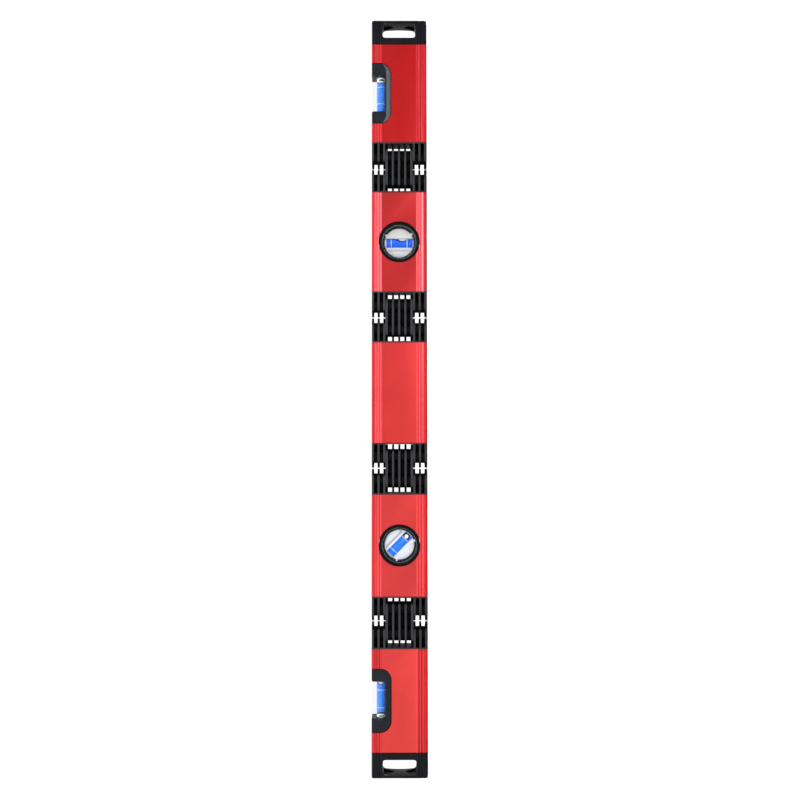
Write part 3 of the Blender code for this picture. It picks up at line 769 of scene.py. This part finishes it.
def capMesh():
    shape = capShape
    soft = shape["round"]
    levels = [(0.3, profile(shape["inset"] + 0.25)), (0.6, profile(shape["inset"]))]
    levels += [(shape["length"] - soft + soft * sin(a), profile(shape["inset"] + soft * (1 - cos(a))))
               for a in (radians(d) for d in (0, 25, 50, 70, 90))]
    cap = loft(levels, alongX)
    spigot = hingeShape["spigot"]
    halfY, edge = spigot["halfY"], spigot["edge"]
    plug = [(-halfY, edge), (halfY, edge), (halfY, widthOfLevel - edge), (-halfY, widthOfLevel - edge)]
    cap = join(cap, loft([(height, plug) for height in shape["plug"]], alongX))
    # the bar over the slot is scooped for the fingers at both faces, most in the middle
    top = shape["length"] - shape["bar"]
    half = shape["slotLength"] / 2
    middle = widthOfLevel / 2
    cornerSteps = 6
    base = roundedBox((middle - half, top - shape["slotHeight"]), (middle + half, top),
                      shape["corner"], cornerSteps)
    # the straight outboard side lies between the first two corners; it gets its own points
    straight = 2 * (half - shape["corner"])
    side = [(middle + straight / 2 - straight * i / 16, top) for i in range(1, 16)]
    outline = base[:cornerSteps + 1] + side + base[cornerSteps + 1:]

    def slotAt(y):
        lift = shape["scoop"] * min(1.0, abs(y) / tubeShape["face"]) ** 2
        return [(z, x + (lift * max(0.0, 1 - ((z - middle) / half) ** 2) if x > top - 0.5 else 0.0))
                for z, x in outline]

    slotLevels = (-14, -11, -9, -7, -5, -3, -1, 1, 3, 5, 7, 9, 11, 14)
    cap = cut(cap, loft([(y, slotAt(y)) for y in slotLevels], alongY))
    halfHeight, length, depth = shape["hollow"]
    small = shape["hollowEnd"]
    for end in (-1, 1):
        tip = middle + end * (half - length)
        root = middle + end * (half - small)
        hollow = [(-halfHeight, root), (halfHeight, root), (small, tip), (-small, tip)]
        cap = cut(cap, loft([(top - 1, hollow), (top + depth, hollow)], alongX))
    # fingers wear the underside of the bar smooth, and it is painted a touch paler there as painted light
    low, high = top - 0.2, top + shape["scoop"]
    return paintFaces(finished(cap, sharpAngle=28), blackAbs, wornAbsPaintedLight,
                      lambda middle, normal: normal.x < -0.5 and low < middle.x < high)


cap = capMesh()
for number, sign, turn in ((1, 1, 0.0), (5, -1, pi)):
    addPiece(f"endCap{number}", cap, blackAbs, f"segment_{number}",
             (segmentX[number] + sign * tubeHalf * mm, 0, 0), turn, [f"end_cap_{number}"])
print("end caps made")

# A vial's barrel, liquid and marks are drawn standing on local Z and then laid in their place.
barrelShape = {
    "radius": 4.2,
    "bore": 3.95,
    "liquid": 4.1,  # as wide as it looks: the barrel's wall magnifies it
    "floor": 0.5,
    "footChamfer": 0.4,
    "lip": (0.15, 0.2),
    "footGap": 0.15,  # between the liquid and the barrel's closed end
    "liquidRound": 0.5,
    "plug": 0.9,
    "plugGap": 0.1,
    "plugRound": 0.3,
    "markWidth": 0.9,
    "markLift": 0.06,
    "skin": 0.1,  # how thick the marks and the bubbles are drawn
}


def softRod(radius, low, high, soft):
    # a rod with rounded ends
    turns = [radians(d) for d in (0, 30, 60, 90)]
    line = [(0, low)]
    line += [(radius - soft + soft * sin(a), low + soft * (1 - cos(a))) for a in turns]
    return turned(line + [(r, low + high - z) for r, z in reversed(line)], 48)


def barrelMesh(length):
    # a clear cup: closed at its lower end, open for the plug at the top
    half = length / 2
    radius, bore = barrelShape["radius"], barrelShape["bore"]
    floor, chamfer = barrelShape["floor"], barrelShape["footChamfer"]
    lipIn, lipDown = barrelShape["lip"]
    line = [(0, -half), (radius - chamfer, -half), (radius, chamfer - half), (radius, half - lipDown)]
    line += [(radius - lipIn, half), (bore, half), (bore, floor - half), (0, floor - half)]
    return turned(line, 48)


def liquidMesh(length):
    shape = barrelShape
    high = length / 2 - shape["plug"] - shape["plugGap"]
    return softRod(shape["liquid"], shape["footGap"] - length / 2, high, shape["liquidRound"])


def plugMesh(length):
    shape = barrelShape
    return softRod(shape["liquid"], length / 2 - shape["plug"], length / 2, shape["plugRound"])


def band(radius, low, high):
    skin = barrelShape["skin"]
    return turned([(radius - skin, low), (radius, low), (radius, high), (radius - skin, high)], 96)


def patch(lift, outline):
    # a curved patch on the barrel, front and rear, whose outline is drawn as (z, x)
    zs = [z for z, _ in outline]
    sleeve = band(barrelShape["radius"] + lift, min(zs) - 1, max(zs) + 1)
    return combine(sleeve, loft([(-9, outline), (9, outline)], alongY), "INTERSECT")


def markMesh(height):
    half = barrelShape["markWidth"] / 2
    return band(barrelShape["radius"] + barrelShape["markLift"], height - half, height + half)


# The bubbles rise to the +X side of each vial. What shows of one is painted: a painted highlight with
# painted shade round its rim. Each outline is (middle, half size, first and last angle), drawn on its
# barrel as (z, x). end_5 is the barrel's lower end, where the plug's end is painted in the same way.
bubbles = {
    "level_1": (("rim", (14.5, 0.0), (2.95, 4.32), 0, 360), ("skin", (14.75, 0.0), (2.35, 4.1), 0, 360),
                ("heart", (14.7, 0.4), (0.95, 2.5), 0, 360)),
    "level_5": (("rim", (-14.3, 0.0), (1.5, 2.7), 0, 360), ("skin", (-14.7, 0.0), (1.0, 2.1), 0, 360)),
    "end_5": (("rim", (14.5, 0.0), (2.5, 4.32), 0, 360), ("skin", (15.3, 0.0), (1.8, 4.2), 0, 360),
              ("heart", (15.6, 0.0), (0.6, 2.4), 0, 360)),
    "plumb": (("rim", (-2.6, 4.3), (5.2, 3.4), 180, 360), ("skin", (-3.1, 4.3), (3.9, 2.3), 180, 360)),
    "angle": (("rim", (-10.0, 0.8), (3.2, 3.4), 0, 360), ("skin", (-10.1, 0.8), (1.8, 1.9), 0, 360)),
}
bubbleLooks = {"rim": (0.03, bubbleShade), "skin": (0.08, bubbleHighlight), "heart": (0.13, bubbleShade)}


def addBubble(name, key, body, pose, place=(0, 0, 0), turn=0.0):
    for part, middle, semi, start, end in bubbles[key]:
        lift, material = bubbleLooks[part]
        outline = ellipse(middle, semi, start, end)
        mesh = finished(placed(patch(lift, outline), pose))
        addPiece(f"{name}{part.capitalize()}", mesh, material, body, place, turn)


edgeVial = {
    "half": 29.2,
    "floor": 33.5,
    "top": 51.9,
    "radius": 10.2,
    "face": 10.9,
    "strip": ((0.0, 1.7), (1.9, 0.65), (4.6, 0.0)),  # inboard strip: how far in, and how far back
    "stepSide": 0.2,  # how much each of its steps draws in at the ends
    "stepTop": 0.15,  # and at the top
    "window": (17.5, 38.9),
    "seat": (6.5, 38.0),  # half thickness and floor of the pocket that the block stands in
    "tip": 1.8,
    "corner": 1.0,
    "barrelZ": 43.1,
    "blockRound": 1.0,
    "blockBore": 4.42,
    "marks": 8.1,
}


def edgeHousingMesh(stripPaintedLight):
    shape = edgeVial
    face, radius = shape["face"], shape["radius"]
    rims = []
    for step, (width, back) in enumerate(shape["strip"]):
        side = shape["stepSide"] * step
        top = shape["top"] - shape["stepTop"] * step
        outline = notch(shape["half"] - side, shape["floor"] + width, top, radius - side, radius - width)
        rims.append((back - face, outline))
    housing = loft(list(reversed(rims)) + [(-y, outline) for y, outline in rims], alongY)
    half, floor = shape["window"]
    tip, corner, top = shape["tip"], shape["corner"], shape["top"]
    # the window, with small round corners at its floor and a rounded tip on the inboard arm
    window = [(60, half), (60, -half - tip)] + arc((top - tip, -half - tip), tip, 0, 90, 6)
    window += arc((floor + corner, -half + corner), corner, 270, 180, 4)
    window += arc((floor + corner, half - corner), corner, 180, 90, 4)
    housing = cut(housing, loft([(-20, window), (20, window)], alongY))
    deep, seatFloor = shape["seat"]
    seat = [(seatFloor, -half + 0.2), (60, -half + 0.2), (60, half - 0.2), (seatFloor, half - 0.2)]
    housing = finished(cut(housing, loft([(-deep, seat), (deep, seat)], alongY)))
    # the broad part of the strip is smoother and its colour is painted light: a pale grey painted
    # highlight on vial 1, darker on vial 5; the rest has the tool's grain
    return paintFaces(housing, satinAbs, stripPaintedLight, lambda middle, normal: 0.7 < abs(normal.y) < 0.995)


blockLow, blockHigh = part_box("level_vial_block_1")
blockSize = (blockHigh - blockLow) / mm


def blockMesh():
    # the clear block has polished faces, sawn ends and the barrel's bore
    low, high = blockLow.z / mm, blockHigh.z / mm
    outline = roundedBox((-blockSize.y / 2, low), (blockSize.y / 2, high), edgeVial["blockRound"], 4)
    block = loft([(-blockSize.x / 2, outline), (blockSize.x / 2, outline)], alongX)
    radius = edgeVial["blockBore"]
    bore = ellipse((0, edgeVial["barrelZ"]), (radius, radius), steps=48)
    block = finished(cut(block, loft([(-40, bore), (40, bore)], alongX)))
    return paintFaces(block, clearBlock, sawnBlock, lambda middle, normal: abs(normal.x) > 0.9)


barrelLength = sizeOf("level_vial_barrel_1").x
lying = Matrix.Translation((0, 0, edgeVial["barrelZ"])) @ Matrix.Rotation(radians(90), 4, "Y")
edgeParts = {
    "block": (blockMesh(), clearBlock, "clear_acrylic"),
    "barrel": (finished(placed(barrelMesh(barrelLength), lying)), clearBarrel, "clear_acrylic"),
    "liquid": (finished(placed(liquidMesh(barrelLength), lying)), levelBlue, "blue_vial_liquid"),
    "plug": (finished(placed(plugMesh(barrelLength), lying)), whiteAbs, "vial_plug"),
}
markHeights = (-edgeVial["marks"], edgeVial["marks"])
edgeMarks = [finished(placed(markMesh(height), lying)) for height in markHeights]
for number, turn, stripPaintedLight in ((1, 0.0, highlightAbs), (5, pi, wornAbsPaintedLight)):
    body = f"segment_{number}"
    place = (segmentX[number], 0, 0)
    addPiece(f"levelVialHousing{number}", edgeHousingMesh(stripPaintedLight), satinAbs, body, place, turn,
             [f"level_vial_housing_{number}"])
    for part, (mesh, material, slotName) in edgeParts.items():
        addPiece(f"levelVial{part.capitalize()}{number}", mesh, material, body, place, turn,
                 [f"level_vial_{part}_{number}"])
    for letter, mesh in zip("ab", edgeMarks):
        addPiece(f"levelVialMark{number}{letter}", mesh, blueInk, body, place, turn)
    addBubble(f"levelVialBubble{number}", f"level_{number}", body, lying, place, turn)
addBubble("levelVialEnd5", "end_5", "segment_5", lying, (segmentX[5], 0, 0), pi)
print("level vials made")

roundVial = {
    "outer": 19.2,
    "face": 11.2,
    "faceInner": 16.5,
    "coverSeat": (8.1, 15.6),  # height of the seat and radius of its inner edge
    "flange": (3.4, 14.15),  # height and inner radius of the flange round the disc
    "rim": (18.0, 1.5),  # radius and half thickness of the disc's rim, clamped between the bezels
    "disc": (13.9, 3.0),  # the same of its raised middle
    "cover": (16.2, 8.2, 9.4),  # radius, and where its inner and outer faces lie
    "opening": (13.4, 4.4),  # half length and half width, round the barrel
    "stripe": {"away": 7.2, "width": 2.2, "length": 21.5, "floor": 2.4},
    "tabs": ((30, 2.0), (145, 2.0)),  # angle and width of the two clips over the flange
    "tabReach": (13.2, 15.3),
    "marks": 7.5,
    "barrel": 26.4,
}
toVialMiddle = Matrix.Translation((0, 0, widthOfLevel / 2))


def bezelMesh(side):
    shape = roundVial
    outer, face, bore = shape["outer"], shape["face"], shape["faceInner"]
    seat, seatInner = shape["coverSeat"]
    flange, flangeInner = shape["flange"]
    rim, rimHalf = shape["rim"]
    clamp = rimHalf + 0.3
    # out over the wall and the rounded face, down the bore to the cover's seat, then round the
    # flange and back along the clamp that holds the disc's rim
    line = [(outer - 0.4, 0.2), (outer, 0.6), (outer, face - 0.7)]
    line += arc((outer - 0.7, face - 0.7), 0.7, 30, 90, 2)
    line += [(bore + 0.9, face), (bore + 0.45, face - 0.12), (bore + 0.1, face - 0.6), (bore, face - 1.2)]
    line += [(bore, seat), (seatInner + 0.3, seat), (seatInner, seat - 0.3), (seatInner, flange + 0.5)]
    line += [(seatInner - 0.3, flange + 0.1), (flangeInner + 0.15, flange), (flangeInner, flange - 0.2)]
    line += [(flangeInner, clamp), (rim + 0.3, clamp), (rim + 0.3, 0.2)]
    ring = finished(placed(turned([(r, side * y) for r, y in line], 96, turnedAboutY), toVialMiddle))
    # the cover's seat is polished and painted pale grey as a painted glint
    return paintFaces(ring, bezelAbs, highlightAbs,
                      lambda middle, normal: abs(abs(middle.y) - seat) < 0.2 and abs(normal.y) > 0.3)


def coverMesh(side):
    radius, inner, outer = roundVial["cover"]
    line = [(0, inner), (radius - 0.2, inner), (radius, inner + 0.2), (radius, outer - 0.4),
            (radius - 0.4, outer), (0, outer)]
    return finished(placed(turned([(r, side * y) for r, y in line], 96, turnedAboutY), toVialMiddle))


def stripeOutline(inset):
    stripe = roundVial["stripe"]
    halfLong, halfWide = stripe["length"] / 2 - inset, stripe["width"] / 2 - inset
    return roundedBox((-halfLong, -stripe["away"] - halfWide), (halfLong, -stripe["away"] + halfWide),
                      halfWide * 0.9, 4)


def carrierMesh(turn):
    # the white disc: a window for the barrel, a groove for the stripe, and two clips on its edge
    shape = roundVial
    rim, rimHalf = shape["rim"]
    radius, height = shape["disc"]
    line = [(0, height), (radius - 0.5, height), (radius - 0.15, height - 0.15), (radius, height - 0.5)]
    line += [(radius, rimHalf), (rim, rimHalf)]
    disc = turned(line + [(r, -y) for r, y in reversed(line)], 96, turnedAboutY)
    inner, outer = shape["tabReach"]
    flange = shape["flange"][0]
    for angle, width in shape["tabs"]:
        tab = roundedBox((inner, -width / 2), (outer, width / 2), 0.5, 3)
        spin = Matrix.Rotation(radians(angle), 4, "Y")
        for low, high in ((-flange - 0.6, -height + 0.4), (height - 0.4, flange + 0.6)):
            disc = join(disc, placed(loft([(low, tab), (high, tab)], alongY), spin))
    halfLong, halfWide = shape["opening"]
    opening = roundedBox((-halfLong, -halfWide), (halfLong, halfWide), 1.0, 4)
    disc = cut(disc, loft([(-20, opening), (20, opening)], alongY))
    floor = shape["stripe"]["floor"]
    for low, high in ((-4, -floor), (floor, 4)):
        disc = cut(disc, loft([(low, stripeOutline(0)), (high, stripeOutline(0))], alongY))
    return finished(placed(disc, toVialMiddle @ turn))


def stripeMesh(turn, side):
    low, high = sorted((side * roundVial["stripe"]["floor"], side * (roundVial["disc"][1] - 0.1)))
    inlay = loft([(low, stripeOutline(0.05)), (high, stripeOutline(0.05))], alongY)
    return finished(placed(inlay, toVialMiddle @ turn))


# The two round vials are one moulding: the angle vial's disc is the plumb vial's, turned round.
roundVials = {
    "plumb": {"segment": 2, "barrelTurn": 0, "discTurn": 0, "liquid": plumbBlue, "disc": greyerWhiteAbs},
    "angle": {"segment": 4, "barrelTurn": -45, "discTurn": 135, "liquid": angleBlue, "disc": whiteAbs},
}
for title, setup in roundVials.items():
    body = f"segment_{setup['segment']}"
    place = (segmentX[setup["segment"]], 0, 0)
    pose = toVialMiddle @ Matrix.Rotation(radians(setup["barrelTurn"]), 4, "Y")
    discTurn = Matrix.Rotation(radians(setup["discTurn"]), 4, "Y")
    length = roundVial["barrel"]
    parts = {
        "bezel_front": (bezelMesh(-1), bezelAbs, "black_abs"),
        "bezel_rear": (bezelMesh(1), bezelAbs, "black_abs"),
        "carrier": (carrierMesh(discTurn), setup["disc"], "white_abs"),
        "cover_front": (coverMesh(-1), clearCover, "clear_acrylic"),
        "cover_rear": (coverMesh(1), clearCover, "clear_acrylic"),
        "barrel": (finished(placed(barrelMesh(length), pose)), clearBarrel, "clear_acrylic"),
        "liquid": (finished(placed(liquidMesh(length), pose)), setup["liquid"], "blue_vial_liquid"),
        "plug": (finished(placed(plugMesh(length), pose)), whiteAbs, "vial_plug"),
    }
    for part, (mesh, material, slotName) in parts.items():
        words = "".join(word.capitalize() for word in part.split("_"))
        addPiece(f"{title}Vial{words}", mesh, material, body, place, 0.0,
                 [f"{title}_vial_{part}"])
    for letter, height in zip("ab", (-roundVial["marks"], roundVial["marks"])):
        mark = finished(placed(markMesh(height), pose))
        addPiece(f"{title}VialMark{letter}", mark, blueInk, body, place)
    # the grey stripes are painted shade: the seat's shadow, laid into the discs' grooves
    for sideName, side in (("Front", -1), ("Rear", 1)):
        addPiece(f"{title}VialStripe{sideName}", stripeMesh(discTurn, side), stripeShade, body, place)
    addBubble(f"{title}VialBubble", title, body, pose, place)
print("round vials made")
